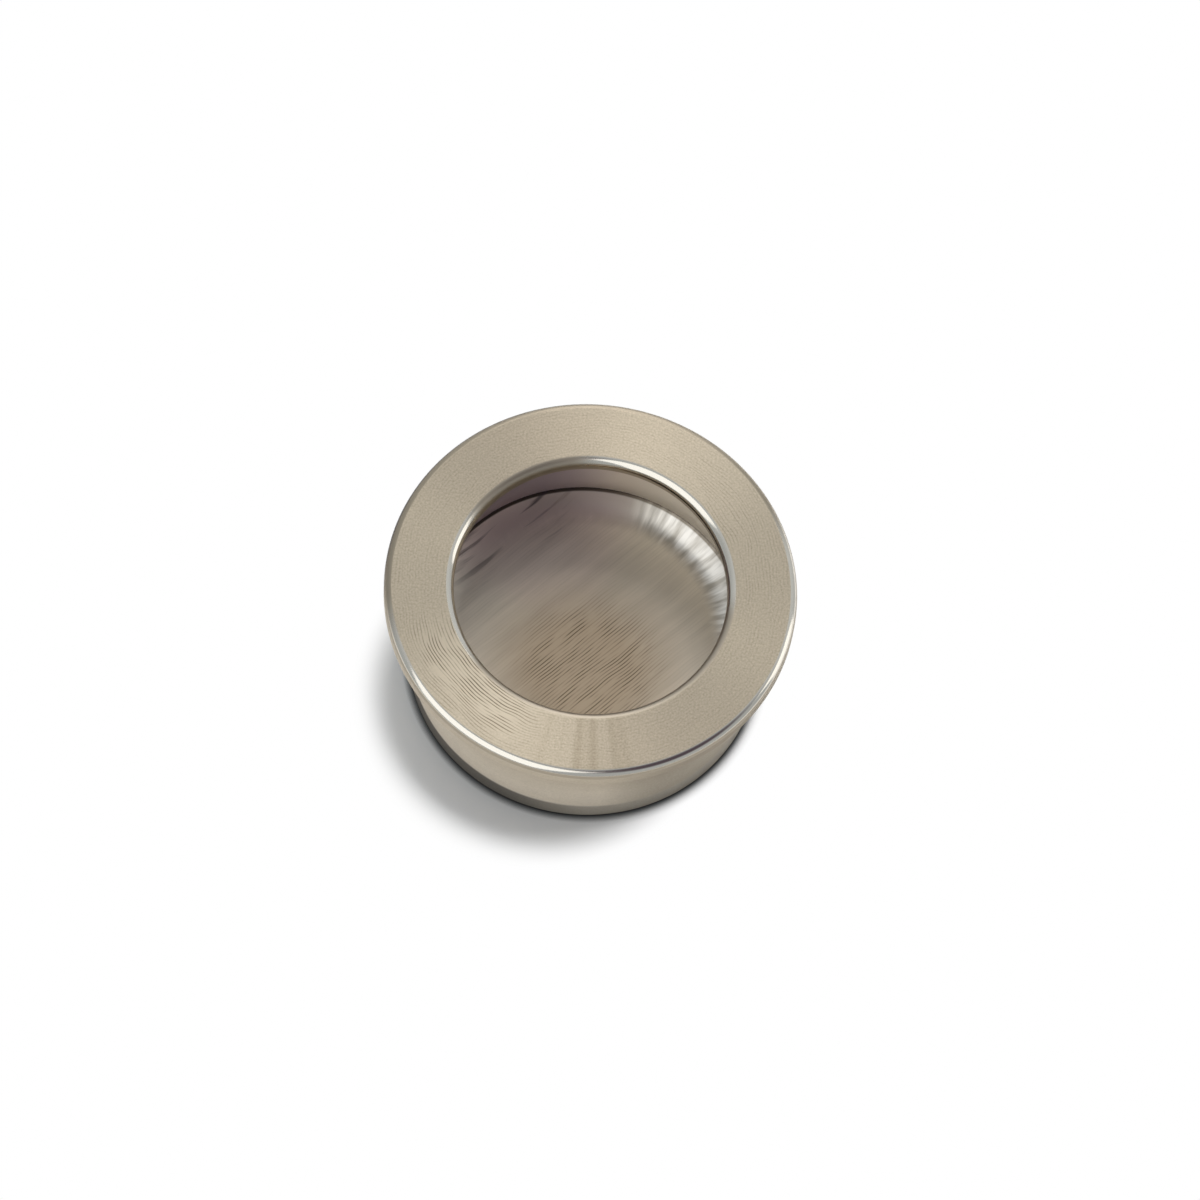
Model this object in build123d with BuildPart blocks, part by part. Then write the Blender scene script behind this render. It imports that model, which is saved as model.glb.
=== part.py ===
from build123d import *
import os
from math import asin, cos, degrees, radians, sin

# Round recessed pull handle: a flanged sleeve that drops into a drilled hole in a door
# or drawer front, and a dished floor that is pressed into the sleeve from the back.
# Origin: centre of the plane where the flange seats on the panel. +Z points out of it.

# Driving dimensions, in millimetres and degrees
hole_diameter = 35.0        # hole that the sleeve drops into
hole_clearance = 0.1        # gap all round between the sleeve and that hole
flange_overhang = 2.6       # how far the flange covers the panel beyond the sleeve
flange_thickness = 2.0
flange_edge_radius = 0.8    # rounding of the flange's outer edge on the face
flange_back_radius = 0.2    # rounding of the same edge on the panel side
sleeve_wall = 1.4
lip_overhang = 2.75         # how far the lip hangs over the recess for the fingers to hook
lip_thickness = 1.5
mouth_edge_radius = 0.9     # rounding of the lip's edge on the face
lip_back_radius = 0.2       # rounding of the same edge inside the recess
recess_corner_radius = 0.6  # inside corner between the lip and the sleeve's wall
recess_depth = 12.4         # from the face down to the flat of the floor
foot_height = 2.6           # how far the sleeve stands out behind the floor
foot_edge_radius = 0.35     # rounding of the sleeve's outer edge at the back
floor_thickness = 1.0
floor_curve_radius = 5.0    # rise of the floor's edge, on the side that shows
floor_edge_angle = 43.0     # slope of the floor where it meets the sleeve
seat_width = 0.5            # ledge in the sleeve that the floor is pressed up against
press_clearance = 0.01      # gap all round between the floor's rim and the sleeve
seam_chamfer = 0.12         # broken edges on both sides of the seam

# Radii, from the hole inwards and outwards
sleeve_radius = hole_diameter / 2 - hole_clearance
flange_radius = sleeve_radius + flange_overhang
recess_radius = sleeve_radius - sleeve_wall
mouth_radius = recess_radius - lip_overhang
seat_radius = recess_radius + seat_width
floor_radius = seat_radius - press_clearance
flat_radius = recess_radius - floor_curve_radius * sin(radians(floor_edge_angle))

# Heights, from the face down
face_z = flange_thickness
lip_back_z = face_z - lip_thickness
floor_z = face_z - recess_depth
seat_z = floor_z + floor_curve_radius * (1 - cos(radians(floor_edge_angle)))
floor_back_z = floor_z - floor_thickness
foot_z = floor_back_z - foot_height

# Slope of the floor's underside where it runs out into the pressed rim
back_curve_radius = floor_curve_radius + floor_thickness
back_edge_angle = degrees(asin((floor_radius - flat_radius) / back_curve_radius))


def corner(sketch, radius, height):
    """The corner of a section that lies nearest to a radius and a height."""
    return sketch.vertices().sort_by_distance((radius, height))[0]


# Flanged sleeve: flange, finger lip, recess wall and the seat for the floor, in one turned piece
with BuildPart() as flanged_sleeve:
    with BuildSketch(Plane.XZ) as sleeve_section:
        with BuildLine():
            Polyline(
                (mouth_radius, face_z),
                (flange_radius, face_z),
                (flange_radius, 0),
                (sleeve_radius, 0),
                (sleeve_radius, foot_z),
                (seat_radius, foot_z),
                (seat_radius, seat_z),
                (recess_radius, seat_z),
                (recess_radius, lip_back_z),
                (mouth_radius, lip_back_z),
                close=True,
            )
        make_face()
        fillet(corner(sleeve_section, flange_radius, face_z), flange_edge_radius)
        fillet(corner(sleeve_section, flange_radius, 0), flange_back_radius)
        fillet(corner(sleeve_section, sleeve_radius, foot_z), foot_edge_radius)
        fillet(corner(sleeve_section, recess_radius, lip_back_z), recess_corner_radius)
        fillet(corner(sleeve_section, mouth_radius, lip_back_z), lip_back_radius)
        fillet(corner(sleeve_section, mouth_radius, face_z), mouth_edge_radius)
        chamfer(corner(sleeve_section, recess_radius, seat_z), seam_chamfer)
    revolve(axis=Axis.Z)
flanged_sleeve.part.label = "flanged_sleeve"

# Dished floor: a flat disc whose edge curves up to the seat and ends in the pressed rim
with BuildPart() as floor_dish:
    with BuildSketch(Plane.XZ) as floor_section:
        with BuildLine():
            front = Line((0, floor_z), (flat_radius, floor_z))
            rise = JernArc(front @ 1, (1, 0), floor_curve_radius, floor_edge_angle)
            seat = Line(rise @ 1, (floor_radius, seat_z))
            back = Line((0, floor_back_z), (flat_radius, floor_back_z))
            back_rise = JernArc(back @ 1, (1, 0), back_curve_radius, back_edge_angle)
            Line(seat @ 1, back_rise @ 1)
            Line(front @ 0, back @ 0)
        make_face()
        chamfer(corner(floor_section, recess_radius, seat_z), seam_chamfer)
    revolve(axis=Axis.Z)
floor_dish.part.label = "floor_dish"

os.makedirs("parts", exist_ok=True)
export_step(flanged_sleeve.part, "parts/flanged_sleeve.step")
export_step(floor_dish.part, "parts/floor_dish.step")
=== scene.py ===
# %% [markdown]
# A round recessed pull handle, lying on its back on a pale table. The real handle is turned
# from zinc alloy and nickel plated: a flanged sleeve with a rounded lip for the fingers, and
# a dished floor pressed into it from behind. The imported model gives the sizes, and this
# script gives the handle its fine surfaces, its materials, its light and its camera.

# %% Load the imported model
from math import asin, cos, pi, radians, sin

import bmesh
import bpy
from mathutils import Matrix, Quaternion, Vector


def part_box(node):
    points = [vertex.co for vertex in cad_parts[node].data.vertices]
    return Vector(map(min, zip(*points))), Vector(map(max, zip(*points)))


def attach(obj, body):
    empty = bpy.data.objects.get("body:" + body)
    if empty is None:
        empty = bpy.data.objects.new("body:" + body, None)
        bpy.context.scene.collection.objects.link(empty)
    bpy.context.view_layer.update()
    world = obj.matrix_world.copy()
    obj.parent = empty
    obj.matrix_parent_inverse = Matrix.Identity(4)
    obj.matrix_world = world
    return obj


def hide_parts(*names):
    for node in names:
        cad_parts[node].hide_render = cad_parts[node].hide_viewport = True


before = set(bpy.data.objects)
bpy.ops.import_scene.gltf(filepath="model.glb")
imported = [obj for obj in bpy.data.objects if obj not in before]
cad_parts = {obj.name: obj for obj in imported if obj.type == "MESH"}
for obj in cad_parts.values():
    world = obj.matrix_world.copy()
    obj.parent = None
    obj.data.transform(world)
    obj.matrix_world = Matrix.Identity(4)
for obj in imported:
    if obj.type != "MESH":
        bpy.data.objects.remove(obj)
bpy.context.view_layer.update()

# %% [markdown]
# Every size below is in metres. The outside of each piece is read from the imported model, so
# that the pieces made here fill the same space. The rest are the thicknesses and roundings
# of the same section, which a box can't give.

# %% Sizes of the section
mm = 0.001
sleeve_low, sleeve_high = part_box("flanged_sleeve")
dish_low, dish_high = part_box("floor_dish")

flange_radius = sleeve_high.x
face_z = sleeve_high.z
foot_z = sleeve_low.z
sleeve_radius = flange_radius - 2.6 * mm
recess_radius = sleeve_radius - 1.4 * mm
mouth_radius = recess_radius - 2.75 * mm
lip_back_z = face_z - 1.5 * mm
seat_radius = recess_radius + 0.5 * mm
dish_radius = dish_high.x
dish_back_z = dish_low.z
floor_z = dish_back_z + 1.0 * mm
floor_curve = 5.0 * mm
floor_slope = radians(43)
seat_z = floor_z + floor_curve * (1 - cos(floor_slope))
flat_radius = recess_radius - floor_curve * sin(floor_slope)

flange_rounding = 0.8 * mm
mouth_rounding = 0.9 * mm
corner_rounding = 0.6 * mm
foot_rounding = 0.35 * mm
small_rounding = 0.2 * mm
seam_chamfer = 0.12 * mm
print("mouth %.2f mm, recess %.2f mm deep" % (mouth_radius * 2 / mm, (face_z - floor_z) / mm))

# %% [markdown]
# Both pieces are round, so each one grows from a circle. The circle is extruded, scaled and
# lifted from one corner of the section to the next, as a potter raises a wall. A spin of a
# drawn outline would give the same rings, but with rings each corner can be picked and
# bevelled afterwards, and the flats keep an extra ring beside each corner, which stops the
# smooth shading of the rounding from leaking onto them.

# %% Turning from ring to ring
steps = 240  # Edges round each circle, enough to look round from close by
touch = 0.01 * mm  # Places nearer than this are on the same ring
hold = 0.05 * mm  # How far the extra rings lie from a rounding
same_point = 0.001 * mm  # Points nearer than this are joined to one


def turn(name, section):
    """Makes a piece by extruding a circle from one (radius, height) of a section to the next."""
    radius, height = section[0]
    bpy.ops.object.select_all(action="DESELECT")
    bpy.ops.mesh.primitive_circle_add(vertices=steps, radius=radius, location=(0, 0, height))
    piece = bpy.context.object
    piece.name = name
    bpy.ops.object.transform_apply(location=True)
    bpy.ops.object.mode_set(mode="EDIT")
    bpy.ops.mesh.select_all(action="SELECT")
    for next_radius, next_height in section[1:]:
        grow = next_radius / radius
        lift = {"value": (0, 0, next_height - height)}
        bpy.ops.mesh.extrude_region_move(TRANSFORM_OT_translate=lift)
        bpy.ops.transform.resize(value=(grow, grow, 1), center_override=(0, 0, 0))
        radius, height = next_radius, next_height
    return piece


# %% Rounding a ring
def bevel_ring(piece, radius, height, size, segments):
    """Selects the ring of edges at a radius and height of a piece, and bevels it."""
    bpy.ops.mesh.select_mode(type="EDGE")
    bpy.ops.mesh.select_all(action="DESELECT")
    shape = bmesh.from_edit_mesh(piece.data)
    for edge in shape.edges:
        places = [(v.co.xy.length - radius, v.co.z - height) for v in edge.verts]
        edge.select = all(abs(out) < touch and abs(up) < touch for out, up in places)
    found = sum(edge.select for edge in shape.edges)
    bmesh.update_edit_mesh(piece.data)
    bpy.ops.mesh.bevel(offset=size, segments=segments, profile=0.5, affect="EDGES")
    where = f"at radius {radius / mm:.2f} mm"
    print(f"{piece.name}: {found} edges {where} rounded to {size / mm:.2f} mm")


# %% Closing and smoothing
def finish_turning(piece, smooth_angle=35):
    """Joins the ends of a turned piece, points its faces outwards and shades it smooth."""
    bpy.ops.mesh.select_mode(type="VERT")
    bpy.ops.mesh.select_all(action="SELECT")
    bpy.ops.mesh.remove_doubles(threshold=same_point)
    bpy.ops.mesh.normals_make_consistent(inside=False)
    bpy.ops.object.mode_set(mode="OBJECT")
    bpy.ops.object.shade_smooth_by_angle(angle=radians(smooth_angle))
    print(f"{piece.name}: {len(piece.data.vertices)} vertices, {len(piece.data.polygons)} faces")


# %% [markdown]
# The flanged sleeve is one piece of metal: the flange that covers the edge of the hole, the
# lip that hangs over the recess, the wall, and the foot behind the floor. Its section is
# walked once round, from the mouth over the face, down the outside, and back up the inside.

# %% The flanged sleeve
sleeve = turn(
    "flanged_sleeve_metal",
    [
        (mouth_radius, face_z),
        (mouth_radius + mouth_rounding + hold, face_z),
        (flange_radius - flange_rounding - hold, face_z),
        (flange_radius, face_z),
        (flange_radius, 0),
        (flange_radius - small_rounding - hold, 0),
        (sleeve_radius, 0),
        (sleeve_radius, -hold),
        (sleeve_radius, foot_z + foot_rounding + hold),
        (sleeve_radius, foot_z),
        (sleeve_radius - foot_rounding - hold, foot_z),
        (seat_radius, foot_z),
        (seat_radius, seat_z),
        (recess_radius, seat_z),
        (recess_radius, seat_z + seam_chamfer + hold),
        (recess_radius, lip_back_z - corner_rounding - hold),
        (recess_radius, lip_back_z),
        (recess_radius - corner_rounding - hold, lip_back_z),
        (mouth_radius + small_rounding + hold, lip_back_z),
        (mouth_radius, lip_back_z),
        (mouth_radius, face_z),
    ],
)
bpy.ops.mesh.select_all(action="SELECT")
bpy.ops.mesh.remove_doubles(threshold=same_point)
bevel_ring(sleeve, mouth_radius, face_z, mouth_rounding, 10)
bevel_ring(sleeve, flange_radius, face_z, flange_rounding, 10)
bevel_ring(sleeve, recess_radius, lip_back_z, corner_rounding, 6)
bevel_ring(sleeve, sleeve_radius, foot_z, foot_rounding, 5)
bevel_ring(sleeve, flange_radius, 0, small_rounding, 4)
bevel_ring(sleeve, mouth_radius, lip_back_z, small_rounding, 4)
bevel_ring(sleeve, recess_radius, seat_z, seam_chamfer, 1)
finish_turning(sleeve)

# %% [markdown]
# The floor is a disc of sheet metal with its edge pressed up in a curve, so that it meets the
# wall at a slope. The curve is an arc, and its rings are worked out from the arc's angle. The
# underside follows it one thickness lower, out to the rim that is pressed into the sleeve.

# %% The dished floor
curve_steps = 12
pin = 0.01 * mm  # The middle starts as a ring this small, and is closed at the end
curve_centre_z = floor_z + floor_curve
back_curve = curve_centre_z - dish_back_z
back_slope = asin((dish_radius - flat_radius) / back_curve)


def arc_rings(radius, slope):
    """Rings of an arc round the curve's centre, from straight down to a slope."""
    angles = [slope * step / curve_steps for step in range(curve_steps + 1)]
    return [(flat_radius + radius * sin(a), curve_centre_z - radius * cos(a)) for a in angles]


front_rings = arc_rings(floor_curve, floor_slope)
back_rings = arc_rings(back_curve, back_slope)
dish = turn(
    "floor_dish_metal",
    [(pin, floor_z), (flat_radius - hold, floor_z)]
    + front_rings
    + [(dish_radius, seat_z)]
    + back_rings[::-1]
    + [(flat_radius - hold, dish_back_z), (pin, dish_back_z)],
)
bevel_ring(dish, recess_radius, seat_z, seam_chamfer, 1)
bpy.ops.mesh.select_all(action="SELECT")
bpy.ops.mesh.select_mode(type="EDGE")
bpy.ops.mesh.select_all(action="DESELECT")
bpy.ops.mesh.select_non_manifold()
bpy.ops.mesh.edge_collapse()
finish_turning(dish)

# %% [markdown]
# Nodes are added by one small function. An input of it can be a plain value, another node or
# one output of a node. Colours are written as hex values, as a paint chart gives them, and
# another function turns them to the linear values that the shader wants.

# %% Colour and node helpers
def linear(code):
    """A hex colour as linear red, green, blue and alpha."""
    parts = [int(code[i : i + 2], 16) / 255 for i in (1, 3, 5)]
    return [p / 12.92 if p <= 0.04045 else ((p + 0.055) / 1.055) ** 2.4 for p in parts] + [1]


def node(tree, kind, inputs=(), **settings):
    """Adds a node with its settings, and gives each named input a value or a link."""
    made = tree.nodes.new("ShaderNode" + kind)
    for name, value in settings.items():
        setattr(made, name, value)
    for socket, value in dict(inputs).items():
        if isinstance(value, bpy.types.Node):
            value = next(output for output in value.outputs if output.enabled)
        if isinstance(value, bpy.types.NodeSocket):
            tree.links.new(value, made.inputs[socket])
        else:
            made.inputs[socket].default_value = value
    return made


def new_material(name):
    """An empty node material."""
    material = bpy.data.materials.new(name)
    material.use_nodes = True
    material.node_tree.nodes.clear()
    return material, material.node_tree


# A Mix node has its factor at input 0, its numbers at 2 and 3, and its colours at 6 and 7.
# With these settings it mixes two colours, or multiplies one by the other to darken it, which lays
# painted shade and faint marks on it
mix_colours = {"data_type": "RGBA"}
multiply_colours = {"data_type": "RGBA", "blend_type": "MULTIPLY"}
print("#808080 is", round(linear("#808080")[0], 3), "of full light")

# %% [markdown]
# A turned surface is worked round the axis, so its patterns are laid out by the way out from
# the axis and the distance from it, and not by an angle. An angle jumps from 180 to -180 on
# one side of the handle, and would leave a seam there. Wear and dirt lie on one side only, so
# a second helper gives a soft patch round an azimuth: 0 is to the right and 90 to the back.

# %% Where a point lies from the axis
def from_axis(tree):
    """The place of a point, the way out to it from the axis, and its distance."""
    place = node(tree, "TexCoord").outputs["Object"]
    flat = node(tree, "VectorMath", {0: place, 1: (1, 1, 0)}, operation="MULTIPLY")
    outward = node(tree, "VectorMath", {0: flat}, operation="NORMALIZE")
    distance = node(tree, "VectorMath", {0: flat}, operation="LENGTH")
    return place, outward, distance


def near_azimuth(tree, outward, azimuth, reach, full=0.3):
    """1 near an azimuth, out to the full part of the reach, and fading to 0 at the reach."""
    way = (cos(radians(azimuth)), sin(radians(azimuth)), 0)
    facing = node(tree, "VectorMath", {0: outward, 1: way}, operation="DOT_PRODUCT")
    outer, inner = cos(radians(reach)), cos(radians(reach * full))
    fade = {"Value": facing, "From Min": outer, "From Max": inner}
    return node(tree, "MapRange", fade, interpolation_type="SMOOTHSTEP")


# %% [markdown]
# An abrasive leaves rows of thin scratches that run side by side, swing a little, and break
# off. Noise alone gives soft blotches and not lines. Here a sine wave across the rows gives
# the lines, a noise stretched along them makes them swing, and a second one breaks them off.
# Real scratches are 0.02 to 0.03 mm apart, which is too fine to show, so they are drawn ten
# to fifteen times as coarse.

# %% Scratch lines
turned_pitch = 0.3 * mm
brushed_pitch = 0.32 * mm
swing_angle = 4.5  # In radians of the wave: 2 pi would be a whole pitch
print("a line swings by up to %.2f mm" % (swing_angle / (2 * pi) * turned_pitch / mm))


def scratch_lines(tree, across, stretched, pitch):
    """Rows of thin dark scratches side by side: 0 in a scratch, 1 between them."""
    swing = node(tree, "TexNoise", {"Vector": stretched, "Scale": 1, "Detail": 1})
    swing = node(tree, "Math", {0: swing, 1: swing_angle}, operation="MULTIPLY")
    turns = node(tree, "Math", {0: across, 1: 2 * pi / pitch, 2: swing}, operation="MULTIPLY_ADD")
    wave = node(tree, "Math", {0: turns}, operation="SINE")
    # Only the lowest part of each wave is a scratch
    thin = {"Value": wave, "From Min": -1.0, "From Max": -0.1}
    thin = node(tree, "MapRange", thin, interpolation_type="SMOOTHSTEP")
    # Where the second noise is low, a row breaks off
    gaps = node(tree, "TexNoise", {"Vector": stretched, "Scale": 1.7, "Detail": 2})
    gaps = node(tree, "MapRange", {"Value": gaps, "From Min": 0.34, "From Max": 0.6})
    return node(tree, "Mix", {0: gaps, 2: 1.0, 3: thin})


# %% [markdown]
# The face and the outside are zinc alloy, turned on a lathe, smoothed with an abrasive held
# against them and then nickel plated. The scratches run round the axis. A picture of
# scratches would have to be wrapped round the ring and would show a join, so they are drawn
# from the distance to the axis. The abrasive is held by hand, so a row wanders a little.

# %% Scratches round the axis
wander = 1.3 * mm
wander_size = 5 * mm
row_width = 1.2 * mm
# The way out is 1 long, so noise with 4 cells to that has cells a quarter of the radius long
row_cells = 4
row_lengths = [round(radius / row_cells / mm, 1) for radius in (mouth_radius, flange_radius)]
print("rows of scratches, in mm at the mouth and at the rim:", row_lengths)


def turned_scratches(tree, place, height, outward, distance):
    """Scratches round the axis on the face, and at even heights on the outside."""
    drift = node(tree, "TexNoise", {"Vector": place, "Scale": 1 / wander_size, "Detail": 1})
    drift = node(tree, "Math", {0: drift, 1: wander}, operation="MULTIPLY")
    across = node(tree, "Math", {0: distance, 1: height}, operation="ADD")
    across = node(tree, "Math", {0: across, 1: drift}, operation="ADD")
    along = {0: outward, 1: (row_cells, row_cells, 0)}
    along = node(tree, "VectorMath", along, operation="MULTIPLY")
    rows = node(tree, "Math", {0: across, 1: 1 / row_width}, operation="MULTIPLY")
    rows = node(tree, "CombineXYZ", {"Z": rows})
    stretched = node(tree, "VectorMath", {0: along, 1: rows}, operation="ADD")
    return scratch_lines(tree, across, stretched, turned_pitch)


# %% [markdown]
# Plating is even, and wear isn't. New satin nickel looks like a fine speckle. The scratches
# show best where hands have rubbed it, and a hand that goes into the recess rubs the inner
# part of the face and less its outer part. So the speckle is drawn all over, the scratches
# are mixed in faintly, and they are mixed in strongly in a few patches.

# %% Wear on the speckle
speckle_size = 0.2 * mm
worn_inside, worn_outside = 16.5 * mm, 19 * mm
print("worn most inside a radius of %.1f mm" % (worn_inside / mm))


def worn_speckle(tree, place, outward, distance, scratches, faint, worn):
    """A fine speckle with the scratches mixed in, strongly at each (azimuth, reach, amount)."""
    speckle = node(tree, "TexNoise", {"Vector": place, "Scale": 1 / speckle_size, "Detail": 2})
    speckle = {"Value": speckle, "From Min": 0.2, "From Max": 0.8, "To Min": 0.5}
    speckle = node(tree, "MapRange", speckle)
    inner = {"Value": distance, "From Min": worn_outside, "From Max": worn_inside, "To Min": 0.25}
    inner = node(tree, "MapRange", inner, interpolation_type="SMOOTHSTEP")
    strength = faint
    for azimuth, reach, amount in worn:
        patch = near_azimuth(tree, outward, azimuth, reach)
        patch = node(tree, "Math", {0: patch, 1: inner}, operation="MULTIPLY")
        strength = node(tree, "Math", {0: patch, 1: amount, 2: strength}, operation="MULTIPLY_ADD")
    return node(tree, "Mix", {0: strength, 2: speckle, 3: scratches})


# %% [markdown]
# Marks that lie on the metal, such as faint streaks or the greyer band of painted shade at the
# foot, let it show through.
# A colour multiplied on to the metal does that, and a share of 0 to 1 says where. Painting
# over it with a plain colour would hide the scratches.

# %% Faint streaks
streak_shade = "#DEDAD4"
streak_patch = (-86, 17)
streak_cells = 14
print("a smear is about %.1f mm wide" % (mouth_radius / streak_cells / mm))


def front_streaks(tree, outward, strength):
    """A few faint darker streaks across the face at the front."""
    streaks = {0: outward, 1: (streak_cells, streak_cells, 0)}
    streaks = node(tree, "VectorMath", streaks, operation="MULTIPLY")
    streaks = node(tree, "TexNoise", {"Vector": streaks, "Scale": 1, "Detail": 0})
    streaks = {"Value": streaks, "From Min": 0.45, "From Max": 0.7, "To Max": strength}
    streaks = node(tree, "MapRange", streaks)
    front = near_azimuth(tree, outward, *streak_patch)
    return node(tree, "Math", {0: streaks, 1: front}, operation="MULTIPLY")


# %% [markdown]
# One function puts the turned finish together for the face and the outside. Colour and bump
# follow the same surface, so that a scratch is both dark and deep. Because the scratches run
# round the axis, the shine stretches across them: the Tangent says which way they run, and
# Anisotropic Rotation turns the shine by a quarter.

# %% Turned nickel
quarter_turn = 0.25


def turned_nickel(
    name, colours, roughness, anisotropic, depth, faint, worn, bands=(), streaked=0
):
    """Turned satin nickel. A band of painted shade is (shade, height where it is full, where it
    ends, patch).
    """
    material, tree = new_material(name)
    place, outward, distance = from_axis(tree)
    height = node(tree, "SeparateXYZ", {0: place}).outputs["Z"]
    scratches = turned_scratches(tree, place, height, outward, distance)
    surface = worn_speckle(tree, place, outward, distance, scratches, faint, worn)
    tint = {0: surface, 6: linear(colours[0]), 7: linear(colours[1])}
    tint = node(tree, "Mix", tint, **mix_colours)
    if streaked:
        streaks = front_streaks(tree, outward, streaked)
        tint = node(tree, "Mix", {0: streaks, 6: tint, 7: linear(streak_shade)}, **multiply_colours)
    # Each band lays painted shade on the metal
    for shade, full, end, patch in bands:
        fade = {"Value": height, "From Min": end, "From Max": full}
        share = node(tree, "MapRange", fade, interpolation_type="SMOOTHSTEP")
        if patch:
            patch = near_azimuth(tree, outward, *patch)
            share = node(tree, "Math", {0: share, 1: patch}, operation="MULTIPLY")
        tint = node(tree, "Mix", {0: share, 6: tint, 7: linear(shade)}, **multiply_colours)
    bump = node(tree, "Bump", {"Height": surface, "Distance": depth, "Strength": 1})
    around = {0: (0, 0, 1), 1: outward}
    around = node(tree, "VectorMath", around, operation="CROSS_PRODUCT")
    metal = {"Base Color": tint, "Metallic": 1, "Roughness": roughness, "Normal": bump}
    metal.update({"Tangent": around, "Anisotropic": anisotropic})
    metal["Anisotropic Rotation"] = quarter_turn
    shader = node(tree, "BsdfPrincipled", metal)
    node(tree, "OutputMaterial", {"Surface": shader})
    print(name, "has", len(tree.nodes), "nodes")
    return material


# %% The face and the outside
# Satin nickel on the turned face: warm grey, with a soft shine that stretches across the rings
face_metal = turned_nickel(
    "turned_satin_nickel_face",
    colours=("#726654", "#D1C4AF"),
    roughness=0.45,
    anisotropic=0.92,
    depth=0.004 * mm,
    faint=0.1,
    worn=[(-132, 33, 0.9), (35, 40, 0.12)],
    streaked=0.7,
)

# Satin nickel on the outside: duller and nearly even, because it is hidden once it is fitted.
# A greyer band of painted shade at the foot stands for the table's shadow seen in the metal,
# darkest at the left
shadow_band_top = foot_z + 2.2 * mm
soft_edge = 0.5 * mm
side_metal = turned_nickel(
    "satin_nickel_side",
    colours=("#B7AC9B", "#DDD3C3"),
    roughness=0.65,
    anisotropic=0.3,
    depth=0.002 * mm,
    faint=0.1,
    worn=[(-120, 60, 0.2)],
    bands=[
        # Painted shade: higher up, under the flange, it is a little darker
        ("#E6E3DE", foot_z + 9.5 * mm, foot_z + 4 * mm, None),
        # Painted shade: above the band there is a slightly darker part, at the front on the right
        ("#D4D3D1", shadow_band_top + soft_edge, shadow_band_top, (-42, 40, 0.3)),
        # The band of painted shade itself, and then its darker part at the left
        ("#D2D3D5", shadow_band_top, shadow_band_top + soft_edge, None),
        ("#ACACAE", shadow_band_top, shadow_band_top + soft_edge, (-136, 56, 0.3)),
        # Painted contact shadow: the rounded edge of the foot is the darkest
        ("#7C7A76", foot_z + 0.2 * mm, foot_z + 0.4 * mm, None),
    ],
)

# %% [markdown]
# The two roundings of the face are buffed until they mirror the room, which draws a bright line
# round the mouth and round the rim. A wheel doesn't reach every part alike, so the bright finish
# fades to a duller one at some places round the edge and below some height. The colour follows it
# as painted highlight and painted shade: lighter where the bright lines fall and darker where it
# is dull. Some of them also get a dark band of painted shade. The wall of the recess and the back
# have the same plating, left satin, and use the same function with one colour and one roughness.

# %% Polished nickel
ripple_size = 0.6 * mm
ripple_depth = 0.002 * mm
buffed_and_highlight_fade = 0.15 * mm


def buffed_and_highlight_share(tree, outward, height, bright_at, low):
    """1 where the wheel has buffed the metal bright and its colour is painted lighter: at the
    patches, and above a height.
    """
    patches = [near_azimuth(tree, outward, *patch) for patch in bright_at]
    share = patches[0] if patches else 1.0
    for patch in patches[1:]:
        share = node(tree, "Math", {0: share, 1: patch}, operation="MAXIMUM")
    if low is not None:
        above = {"Value": height, "From Min": low - buffed_and_highlight_fade, "From Max": low}
        above = node(tree, "MapRange", above, interpolation_type="SMOOTHSTEP")
        share = node(tree, "Math", {0: share, 1: above}, operation="MULTIPLY")
    return share


def painted_dark_share(tree, outward, height, azimuth, reach, middle, half):
    """1 in a patch of painted shade round an azimuth, within half a width of a middle height."""
    off = node(tree, "Math", {0: height, 1: middle}, operation="SUBTRACT")
    off = node(tree, "Math", {0: off}, operation="ABSOLUTE")
    share = {"Value": off, "From Min": half, "From Max": half * 0.4}
    share = node(tree, "MapRange", share, interpolation_type="SMOOTHSTEP")
    patch = near_azimuth(tree, outward, azimuth, reach)
    return node(tree, "Math", {0: share, 1: patch}, operation="MULTIPLY")


def polished_nickel(name, dull, bright, roughness, bright_at=(), low=None, painted_dark_at=None):
    """Nickel, dull where it isn't buffed bright, with its roughness as (dull, bright). Where it is
    dull its colour is painted darker, and where it is buffed lighter: painted shade and painted
    highlight.

    The painted dark patch is painted shade: azimuth, reach, middle height, half its width, and
    colour.
    """
    material, tree = new_material(name)
    place, outward = from_axis(tree)[:2]
    height = node(tree, "SeparateXYZ", {0: place}).outputs["Z"]
    ripple = node(tree, "TexNoise", {"Vector": place, "Scale": 1 / ripple_size, "Detail": 2})
    bump = node(tree, "Bump", {"Height": ripple, "Distance": ripple_depth, "Strength": 1})
    share = buffed_and_highlight_share(tree, outward, height, bright_at, low)
    # The colour is painted: darker where dull, and lighter where buffed, where the bright lines
    # fall
    tint = {0: share, 6: linear(dull), 7: linear(bright)}
    tint = node(tree, "Mix", tint, **mix_colours)
    if painted_dark_at:
        # A dark patch of painted shade, laid over the tint
        dark = painted_dark_share(tree, outward, height, *painted_dark_at[:4])
        tint = node(tree, "Mix", {0: dark, 6: tint, 7: linear(painted_dark_at[4])}, **mix_colours)
    roughness = node(tree, "Mix", {0: share, 2: roughness[0], 3: roughness[1]})
    metal = {"Base Color": tint, "Metallic": 1, "Roughness": roughness, "Normal": bump}
    shader = node(tree, "BsdfPrincipled", metal)
    node(tree, "OutputMaterial", {"Surface": shader})
    print(name, "has", len(tree.nodes), "nodes")
    return material


# %% The roundings, the wall and the back
# Bright nickel on the rim: a clear light line at the front, painted lighter there, and a painted
# dark reflection line at the far left
rim_metal = polished_nickel(
    "polished_nickel_rim", "#A09584", "#DDD7CC", (0.35, 0.12),
    bright_at=[(-68, 104, 0.8)],
    low=face_z - 0.3 * mm,
    painted_dark_at=(140, 60, face_z - 0.6 * mm, 0.5 * mm, "#2E2924"),
)
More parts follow.
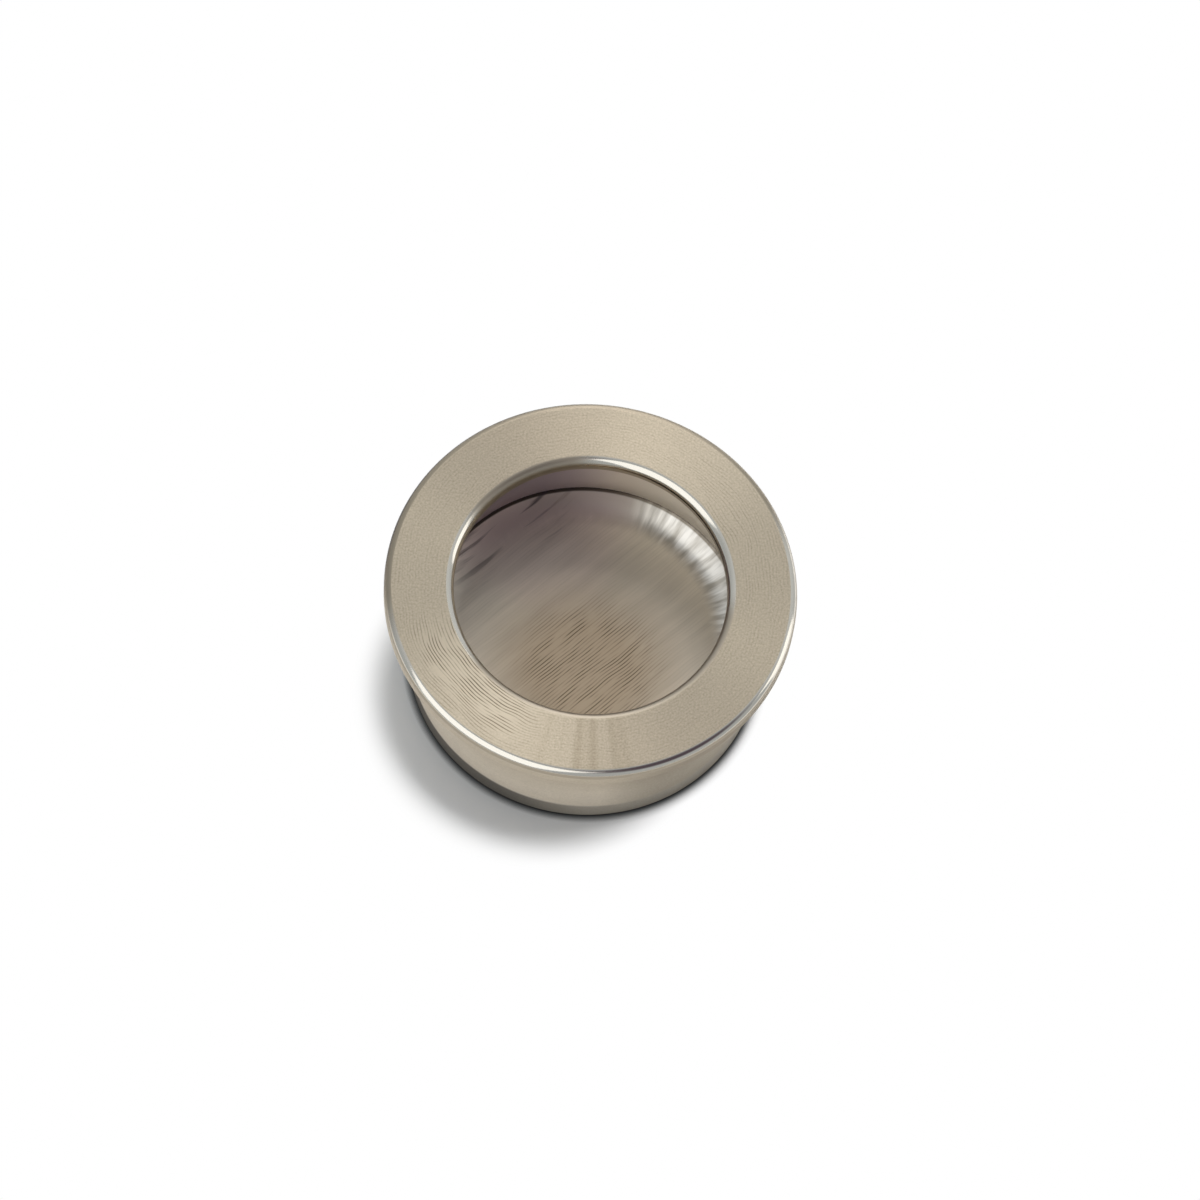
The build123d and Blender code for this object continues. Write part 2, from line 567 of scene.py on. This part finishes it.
# Bright nickel on the mouth: light lines at the far right and at the left, painted lighter there,
# and a painted dark reflection line below the one at the far right
mouth_metal = polished_nickel(
    "polished_nickel_mouth", "#B0A595", "#DDD7CC", (0.4, 0.12),
    bright_at=[(48, 56, 0.75), (186, 40, 0.6)],
    low=face_z - 0.7 * mm,
    painted_dark_at=(45, 45, face_z - 0.72 * mm, 0.15 * mm, "#1E1A17"),
)
# Satin nickel on the wall: it only passes light on to the floor, and has painted plum-grey shade
# at the far left
wall_metal = polished_nickel(
    "satin_nickel_recess_wall", "#EDE7DD", "#EDE7DD", (0.55, 0.55),
    painted_dark_at=(128, 46, 0, 25 * mm, "#C4B9C1"),
)
# Plain satin nickel on the back of both pieces, which nobody sees once the handle is fitted
back_metal = polished_nickel("plain_satin_nickel_back", "#C2B9AB", "#C2B9AB", (0.6, 0.6))

# %% [markdown]
# The floor is sheet metal, brushed in straight lines before it was pressed to a dish, nickel
# plated and left satin. So its lines cross the round shape at an angle, unlike those of the
# sleeve, and they tell the eye that it is a second piece. Fine lines show where the brush
# bore hardest, a little in front of the middle, and elsewhere only the wider bands that
# they lie in. The brush was held by hand, so all of them are a little wavy.

# %% Brush lines
brush_angle = 48
wave_size, wave_height = 6 * mm, 0.5 * mm
brush_row = (6 * mm, 1.4 * mm)
brush_band = (12 * mm, 0.9 * mm)
band_share = 0.28
hard_spot = (0.8 * mm, -2.8 * mm, floor_z)
hard_reach, hard_full = 8.5 * mm, 4 * mm
print("brushed at %d degrees, in bands %.1f mm wide" % (brush_angle, brush_band[1] / mm))


def brush_lines(tree, place):
    """The brushed surface, and the place laid out along its bands for other strokes."""
    waves = node(tree, "TexNoise", {"Vector": place, "Scale": 1 / wave_size, "Detail": 1})
    waves = {0: waves.outputs["Color"], 1: (wave_height, wave_height, 0)}
    waves = node(tree, "VectorMath", waves, operation="MULTIPLY")
    wavy = node(tree, "VectorMath", {0: place, 1: waves}, operation="ADD")
    turned = node(tree, "Mapping", {"Vector": wavy, "Rotation": (0, 0, -radians(brush_angle))})
    across = node(tree, "SeparateXYZ", {0: turned}).outputs["Y"]
    rows, bands_place = [
        node(tree, "Mapping", {"Vector": turned, "Scale": (1 / length, 1 / width, 1 / length)})
        for length, width in (brush_row, brush_band)
    ]
    fine = scratch_lines(tree, across, rows, brushed_pitch)
    bands = node(tree, "TexNoise", {"Vector": bands_place, "Scale": 1, "Detail": 2})
    bands = {"Value": bands, "From Min": 0.2, "From Max": 0.8, "To Min": 0.7, "To Max": 0.94}
    bands = node(tree, "MapRange", bands)
    lines = node(tree, "Mix", {0: band_share, 2: fine, 3: bands})
    spot = node(tree, "VectorMath", {0: place, 1: hard_spot}, operation="DISTANCE")
    hard = {"Value": spot, "From Min": hard_reach, "From Max": hard_full, "To Min": 0.1}
    hard = node(tree, "MapRange", hard, interpolation_type="SMOOTHSTEP")
    return node(tree, "Mix", {0: hard, 2: bands, 3: lines}), bands_place


# %% [markdown]
# The die that pressed the curve left short marks up it, which run out from the axis. It burnished
# the curve most at the right, where the fringe of reflected light falls, and there the marks are
# bright and uneven and the colour is painted paler: a painted highlight on smoother metal.
# Elsewhere they are too faint to draw. The marks are a noise laid out by the way out from the
# axis, so that each cell of it is a spoke, and they also make the inner edge of the curve ragged.

# %% Press marks
spoke_cells = 24
spoke_step = 4 * mm
ragged_by = 2 * mm
burnished_and_highlight_patch = (39, 42, 0.42)
unmarked = 0.75
curve_start, curve_full = flat_radius + 0.8 * mm, flat_radius + 2.8 * mm
print("a press mark is %.1f mm wide" % (recess_radius / spoke_cells / mm))


def press_marks(tree, outward, distance):
    """The marks, how far a point is up the curve, and how far it is burnished and painted with the
    highlight.
    """
    spokes = {0: outward, 1: (spoke_cells, spoke_cells, 0)}
    spokes = node(tree, "VectorMath", spokes, operation="MULTIPLY")
    steps_out = node(tree, "Math", {0: distance, 1: 1 / spoke_step}, operation="MULTIPLY")
    steps_out = node(tree, "CombineXYZ", {"Z": steps_out})
    spokes = node(tree, "VectorMath", {0: spokes, 1: steps_out}, operation="ADD")
    spokes = node(tree, "TexNoise", {"Vector": spokes, "Scale": 1, "Detail": 3})
    ragged = node(tree, "Math", {0: spokes, 1: ragged_by, 2: distance}, operation="MULTIPLY_ADD")
    on_curve = {"Value": ragged, "From Min": curve_start, "From Max": curve_full}
    on_curve = node(tree, "MapRange", on_curve, interpolation_type="SMOOTHSTEP")
    marks = node(tree, "MapRange", {"Value": spokes, "From Min": 0.35, "From Max": 0.62})
    right = near_azimuth(tree, outward, *burnished_and_highlight_patch)
    marks = node(tree, "Mix", {0: right, 2: unmarked, 3: marks})
    burnished_and_highlight = node(tree, "Math", {0: right, 1: on_curve}, operation="MULTIPLY")
    return marks, on_curve, burnished_and_highlight


# %% [markdown]
# The floor is painted darker and warmer in the middle and at the front, plum-grey in the far left
# corner, and greyer at the back of the curve: painted shade of the recess. Each has soft edges, so
# that no outline of it shows.

# %% Painted shade in the recess
recess_shade_colour = "#BEB2A4"
recess_shade_spot = (0, -3.4 * mm, floor_z)
recess_shade_reach, recess_shade_full = 15.5 * mm, 4 * mm
# Azimuth, reach, shade, distance where the painted shade starts and where it is full
corner_shades = (
    (116, 50, "#FFF9FD", 2 * mm, 10 * mm),
    (116, 50, "#EEE6EC", 12 * mm, 14.6 * mm),
    (90, 36, "#CBCBC8", 13.4 * mm, 15.4 * mm),
)


def painted_recess_shade(tree, tint, place, outward, distance):
    """The tint with painted shade: darker and warmer in the middle and at the front, plum-grey at
    the far left, and greyer at the back of the curve.
    """
    spot = node(tree, "VectorMath", {0: place, 1: recess_shade_spot}, operation="DISTANCE")
    recess_shade = {"Value": spot, "From Min": recess_shade_reach, "From Max": recess_shade_full}
    recess_shade = node(tree, "MapRange", recess_shade, interpolation_type="SMOOTHSTEP")
    tint = node(tree, "Mix", {0: recess_shade, 6: tint, 7: linear(recess_shade_colour)}, **multiply_colours)
    for azimuth, reach, shade, start, full in corner_shades:
        corner = near_azimuth(tree, outward, azimuth, reach)
        rim = {"Value": distance, "From Min": start, "From Max": full}
        rim = node(tree, "MapRange", rim, interpolation_type="SMOOTHSTEP")
        share = node(tree, "Math", {0: corner, 1: rim}, operation="MULTIPLY")
        tint = node(tree, "Mix", {0: share, 6: tint, 7: linear(shade)}, **multiply_colours)
    return tint


# %% [markdown]
# The seam between the two pieces is a groove that light hardly reaches, so it is a thin shaded
# line all the way round. At the far left a darker line lies in it, and comes and goes, and beside
# it are a few darker strokes.

# %% Seam and dark marks
seam_shade, dark_line_colour, stroke_colour = "#A6A098", "#1E1A18", "#3A3138"
seam_start, seam_full = recess_radius - 0.3 * mm, recess_radius - 0.15 * mm
dark_line_patch = (120, 50)
stroke_patch = (131, 36)
strokes_start, strokes_full = 10 * mm, 15 * mm
print("the seam's line is %.2f mm wide" % ((recess_radius - seam_full) / mm))


def seam_and_dark_marks(tree, tint, outward, distance, marks, bands_place):
    """The tint with the shaded seam, the dark line in it and the strokes beside it."""
    seam = {"Value": distance, "From Min": seam_start, "From Max": seam_full}
    seam = node(tree, "MapRange", seam, interpolation_type="SMOOTHSTEP")
    tint = node(tree, "Mix", {0: seam, 6: tint, 7: linear(seam_shade)}, **multiply_colours)
    far_left = near_azimuth(tree, outward, *dark_line_patch)
    dark_line = node(tree, "Math", {0: far_left, 1: seam}, operation="MULTIPLY")
    dark_line = node(tree, "Math", {0: dark_line, 1: marks}, operation="MULTIPLY")
    tint = node(tree, "Mix", {0: dark_line, 6: tint, 7: linear(dark_line_colour)}, **mix_colours)
    strokes = node(tree, "TexNoise", {"Vector": bands_place, "Scale": 1.3, "Detail": 3})
    strokes = {"Value": strokes, "From Min": 0.54, "From Max": 0.66, "To Max": 0.8}
    strokes = node(tree, "MapRange", strokes)
    beside = {"Value": distance, "From Min": strokes_start, "From Max": strokes_full}
    beside = node(tree, "MapRange", beside, interpolation_type="SMOOTHSTEP")
    left = near_azimuth(tree, outward, *stroke_patch)
    beside = node(tree, "Math", {0: beside, 1: left}, operation="MULTIPLY")
    strokes = node(tree, "Math", {0: strokes, 1: beside}, operation="MULTIPLY")
    return node(tree, "Mix", {0: strokes, 6: tint, 7: linear(stroke_colour)}, **mix_colours)


# %% [markdown]
# Now the floor's finish is put together: one surface of brush lines and press marks, from which
# colour and bump both follow, then the painted shade and the dark marks, and last the shader.
# Where the curve is burnished, the metal is smoother, and where the fringe of reflected light
# falls its colour is painted pale and bright, with no warmth: a painted highlight.

# %% Brushed nickel
satin_roughness, burnished_roughness = 0.5, 0.32


def brushed_nickel(name, colours, fringe_highlight_colours, anisotropic, depth):
    """Nickel brushed in straight lines, with press marks on its curved edge."""
    material, tree = new_material(name)
    place, outward, distance = from_axis(tree)
    lines, bands_place = brush_lines(tree, place)
    marks, on_curve, burnished_and_highlight = press_marks(tree, outward, distance)
    surface = node(tree, "Mix", {0: on_curve, 2: lines, 3: marks})
    tint = {0: surface, 6: linear(colours[0]), 7: linear(colours[1])}
    tint = node(tree, "Mix", tint, **mix_colours)
    tint = painted_recess_shade(tree, tint, place, outward, distance)
    # Painted highlight: where the fringe falls, the colour is paler and streaked with the marks
    fringe_highlight = {0: marks, 6: linear(fringe_highlight_colours[0]), 7: linear(fringe_highlight_colours[1])}
    fringe_highlight = node(tree, "Mix", fringe_highlight, **mix_colours)
    tint = node(tree, "Mix", {0: burnished_and_highlight, 6: tint, 7: fringe_highlight}, **mix_colours)
    tint = seam_and_dark_marks(tree, tint, outward, distance, marks, bands_place)
    bump = node(tree, "Bump", {"Height": surface, "Distance": depth, "Strength": 1})
    along = {"X": cos(radians(brush_angle)), "Y": sin(radians(brush_angle))}
    along = node(tree, "CombineXYZ", along)
    roughness = {0: burnished_and_highlight, 2: satin_roughness, 3: burnished_roughness}
    roughness = node(tree, "Mix", roughness)
    metal = {"Base Color": tint, "Metallic": 1, "Roughness": roughness, "Normal": bump}
    metal.update({"Tangent": along, "Anisotropic": anisotropic})
    metal["Anisotropic Rotation"] = quarter_turn
    shader = node(tree, "BsdfPrincipled", metal)
    node(tree, "OutputMaterial", {"Surface": shader})
    print(name, "has", len(tree.nodes), "nodes")
    return material


# Satin nickel on the floor: the eye sees warm grey silk, with a bright fringe at the right that is
# partly a painted highlight
floor_metal = brushed_nickel(
    "brushed_satin_nickel_floor",
    colours=("#5E5243", "#F0E7D8"),
    fringe_highlight_colours=("#B4ADA2", "#E9E4DC"),
    anisotropic=0.4,
    depth=0.004 * mm,
)

# %% [markdown]
# The sleeve has six finishes, so each of its faces takes the material of its place: satin on
# the outside, turned satin on the flat face, polished on the roundings of the flange and of
# the mouth, satin on the wall of the recess, and plain satin at the back. The floor has its
# brushed face and a plain back. Faces could be given their materials by hand in edit mode.
# Here they are told apart by where they are and which way they look.

# %% Which face gets which finish
for metal in (side_metal, face_metal, rim_metal, mouth_metal, wall_metal, back_metal):
    sleeve.data.materials.append(metal)
on_side, on_face, on_rim, on_mouth, on_wall, on_back = range(6)
for face in sleeve.data.polygons:
    flat_on = abs(face.normal.z) > 0.99
    high = face.center.z
    out = face.center.xy.length
    at_rim = high > face_z - flange_rounding and out > flange_radius - flange_rounding
    at_mouth = high > lip_back_z - touch * 2 and out < mouth_radius + mouth_rounding
    face.material_index = on_side
    if flat_on and high > face_z - touch:
        face.material_index = on_face
    elif not flat_on and at_rim:
        face.material_index = on_rim
    elif not flat_on and at_mouth:
        face.material_index = on_mouth
    elif out < recess_radius + touch and high > seat_z:
        face.material_index = on_wall
    elif out < sleeve_radius - foot_rounding and high < seat_z + touch:
        face.material_index = on_back

for metal in (floor_metal, back_metal):
    dish.data.materials.append(metal)
for face in dish.data.polygons:
    face.material_index = 0 if face.normal.z > 0.1 else 1
for piece in (sleeve, dish):
    for place, metal in enumerate(piece.data.materials):
        found = sum(face.material_index == place for face in piece.data.polygons)
        print(metal.name, found, "faces")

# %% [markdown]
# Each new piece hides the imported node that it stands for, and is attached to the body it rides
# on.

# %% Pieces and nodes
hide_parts("flanged_sleeve")
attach(sleeve, "root")
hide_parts("floor_dish")
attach(dish, "root")

# %% [markdown]
# The table is a plain matt white sheet. Near the handle it is lit by the lamps and keeps the
# shadow. Further out it fades to a white of strength 1 for the camera, and further out still
# for reflections, so that the background is white without more light on the handle.

# %% The table
bpy.ops.object.select_all(action="DESELECT")
bpy.ops.mesh.primitive_plane_add(size=4, location=(0, 0, foot_z))
table = bpy.context.object
table.name = "table"
print("table at", round(foot_z / mm, 2), "mm")

# %% Where the table turns white
# The shadow falls to the front and to the left, so the lit part has its middle there
shadow_middle = (-4.0 * mm, -5.1 * mm, 0)
lit_radius, white_radius = 14 * mm, 18.5 * mm
mirrored_lit, mirrored_white = 40 * mm, 120 * mm
contact_strip = 1.4 * mm

material, tree = new_material("matt_white_table")
path = node(tree, "LightPath").outputs
place = node(tree, "TexCoord").outputs["Object"]
from_shadow = node(tree, "VectorMath", {0: place, 1: shadow_middle}, operation="DISTANCE")
near = {"Value": from_shadow, "From Min": lit_radius, "From Max": white_radius}
near = node(tree, "MapRange", near, interpolation_type="SMOOTHSTEP")
near = node(tree, "Math", {0: near, 1: path["Is Camera Ray"]}, operation="MULTIPLY")
# The last millimetre or two beside the foot stays as it is lit, all the way round
away = node(tree, "VectorMath", {0: place}, operation="LENGTH")
clear = {"Value": away, "From Min": sleeve_radius, "From Max": sleeve_radius + contact_strip}
clear = node(tree, "MapRange", clear, interpolation_type="SMOOTHSTEP")
near = node(tree, "Math", {0: near, 1: clear}, operation="MULTIPLY")
# Reflections and light through glass see the white too, but only far from the handle
seen = {0: path["Is Glossy Ray"], 1: path["Is Transmission Ray"]}
seen = node(tree, "Math", seen, operation="MAXIMUM")
far = {"Value": away, "From Min": mirrored_lit, "From Max": mirrored_white}
far = node(tree, "MapRange", far, interpolation_type="SMOOTHSTEP")
far = node(tree, "Math", {0: far, 1: seen}, operation="MULTIPLY")
white_share = node(tree, "Math", {0: near, 1: far}, operation="MAXIMUM")

# %% The table's paint
# Matt white paint: it has no shine, and shows only light and shadow.
# A corner this narrow is darker than paint alone shows it: light is lost within a millimetre
corner_width = 0.8 * mm
corner_power = 3
corner = node(tree, "AmbientOcclusion", {"Distance": corner_width}).outputs["AO"]
corner = node(tree, "Math", {0: corner, 1: corner_power}, operation="POWER")
shades = {0: corner, 6: linear("#141414"), 7: linear("#F9F9F9")}
shades = node(tree, "Mix", shades, **mix_colours)
paint = node(tree, "BsdfDiffuse", {"Color": shades})
white = node(tree, "Emission", {"Color": (1, 1, 1, 1), "Strength": 1})
surface = node(tree, "MixShader", {0: white_share, 1: paint, 2: white})
node(tree, "OutputMaterial", {"Surface": surface})
table.data.materials.append(material)
print(material.name, "has", len(tree.nodes), "nodes")

# %% [markdown]
# Bare metal shows little of its own: it shows the room. The room here is a cool grey that is
# lighter behind the handle, so that the warmth comes from the nickel. A darker and slightly
# plum-coloured part high in front on the right gives the rounded edges a dark line there.
# A picture of a real room would do as well, but its shapes would show in the polished edges.

# %% The room
grey_wall = (0.47, 0.50, 0.52, 1)
light_wall = (0.66, 0.69, 0.71, 1)
dark_part = (0.10, 0.08, 0.10, 1)


def direction(azimuth, elevation):
    """A unit vector at an azimuth from +X towards +Y, and at an elevation above the table."""
    level, up = cos(radians(elevation)), sin(radians(elevation))
    return Vector((level * cos(radians(azimuth)), level * sin(radians(azimuth)), up))


def room_share(tree, azimuth, elevation, reach, full):
    """1 within the full angle of a direction, and fading to 0 at the reach, both in degrees."""
    looking = node(tree, "TexCoord").outputs["Generated"]
    way = direction(azimuth, elevation)
    facing = node(tree, "VectorMath", {0: looking, 1: way}, operation="DOT_PRODUCT")
    share = {"Value": facing, "From Min": cos(radians(reach)), "From Max": cos(radians(full))}
    return node(tree, "MapRange", share, interpolation_type="SMOOTHSTEP")


world = bpy.data.worlds.new("studio_room")
bpy.context.scene.world = world
world.use_nodes = True
tree = world.node_tree
tree.nodes.clear()
behind = room_share(tree, 90, 30, 75, 25)
walls = node(tree, "Mix", {0: behind, 6: grey_wall, 7: light_wall}, **mix_colours)
dark = room_share(tree, -38, 57, 32, 10)
walls = node(tree, "Mix", {0: dark, 6: walls, 7: dark_part}, **mix_colours)
room = node(tree, "Background", {"Color": walls, "Strength": 1})
node(tree, "OutputWorld", {"Surface": room})
print(world.name, "has", len(tree.nodes), "nodes")

# %% [markdown]
# Metal needs two kinds of light. Large soft panels are there to be mirrored: they draw the
# bright lines on the edges and the sheen on the satin, so they act on reflections alone. One
# small lamp high behind on the right lights the table and throws the soft shadow to the left
# and to the front, and it isn't mirrored. Each lamp's power is worked out from how bright its
# surface looks, times its area, so that a lamp can change its size and keep its brightness.

# %% Lamps
def softbox(name, azimuth, elevation, width, height, radiance, colour, mirrored):
    """An area lamp one metre away, seen only in reflections or only by matt surfaces."""
    way = direction(azimuth, elevation)
    lamp_data = bpy.data.lights.new(name, "AREA")
    lamp_data.shape = "RECTANGLE"
    lamp_data.size = width
    lamp_data.size_y = height
    lamp_data.color = colour
    lamp_data.energy = radiance * pi * width * height
    lamp = bpy.data.objects.new(name, lamp_data)
    bpy.context.collection.objects.link(lamp)
    lamp.location = way
    lamp.rotation_mode = "QUATERNION"
    lamp.rotation_quaternion = way.to_track_quat("Z", "Y")
    lamp.visible_camera = False
    lamp.visible_glossy = mirrored
    lamp.visible_diffuse = not mirrored
    print(f"{name}: {lamp_data.energy:.1f} W")


white_light, warm_light, warmer_light = (1, 1, 1), (1, 0.98, 0.96), (1, 0.98, 0.95)
key_light = (1, 0.985, 0.965)
softbox("left_front_softbox", -131, 41, 1.15, 1.2, 0.88, white_light, mirrored=True)
softbox("right_strip", 12, 21, 0.38, 0.75, 0.95, warmer_light, mirrored=True)
softbox("back_panel", 90, 38, 0.42, 1.1, 1.7, warm_light, mirrored=True)
softbox("key_from_behind", 52, 78, 0.28, 0.28, 26, key_light, mirrored=False)

# %% [markdown]
# The camera looks steeply down on the face, from half a metre away and with a long lens, as
# for a catalogue picture. It is rolled a few degrees. The small shift moves the frame on the
# sensor without turning the camera, so that the ellipses of the rim keep their shape.

# %% Camera
camera_distance = 0.5
camera_elevation = 64.6
camera_roll = 6.5
aim = Vector((0, 0, face_z))
camera_data = bpy.data.cameras.new("camera")
camera_data.lens = 155.4
camera_data.sensor_width = 36
camera_data.shift_x = 0.00733333
camera_data.shift_y = -0.012
camera = bpy.data.objects.new("camera", camera_data)
bpy.context.collection.objects.link(camera)
bpy.context.scene.camera = camera
way = direction(-90, camera_elevation)
roll = Quaternion((0, 0, 1), radians(camera_roll))
camera.location = aim + way * camera_distance
camera.rotation_mode = "QUATERNION"
camera.rotation_quaternion = way.to_track_quat("Z", "Y") @ roll
bpy.context.scene.view_settings.view_transform = "Standard"
print("camera at", [round(v, 3) for v in camera.location])
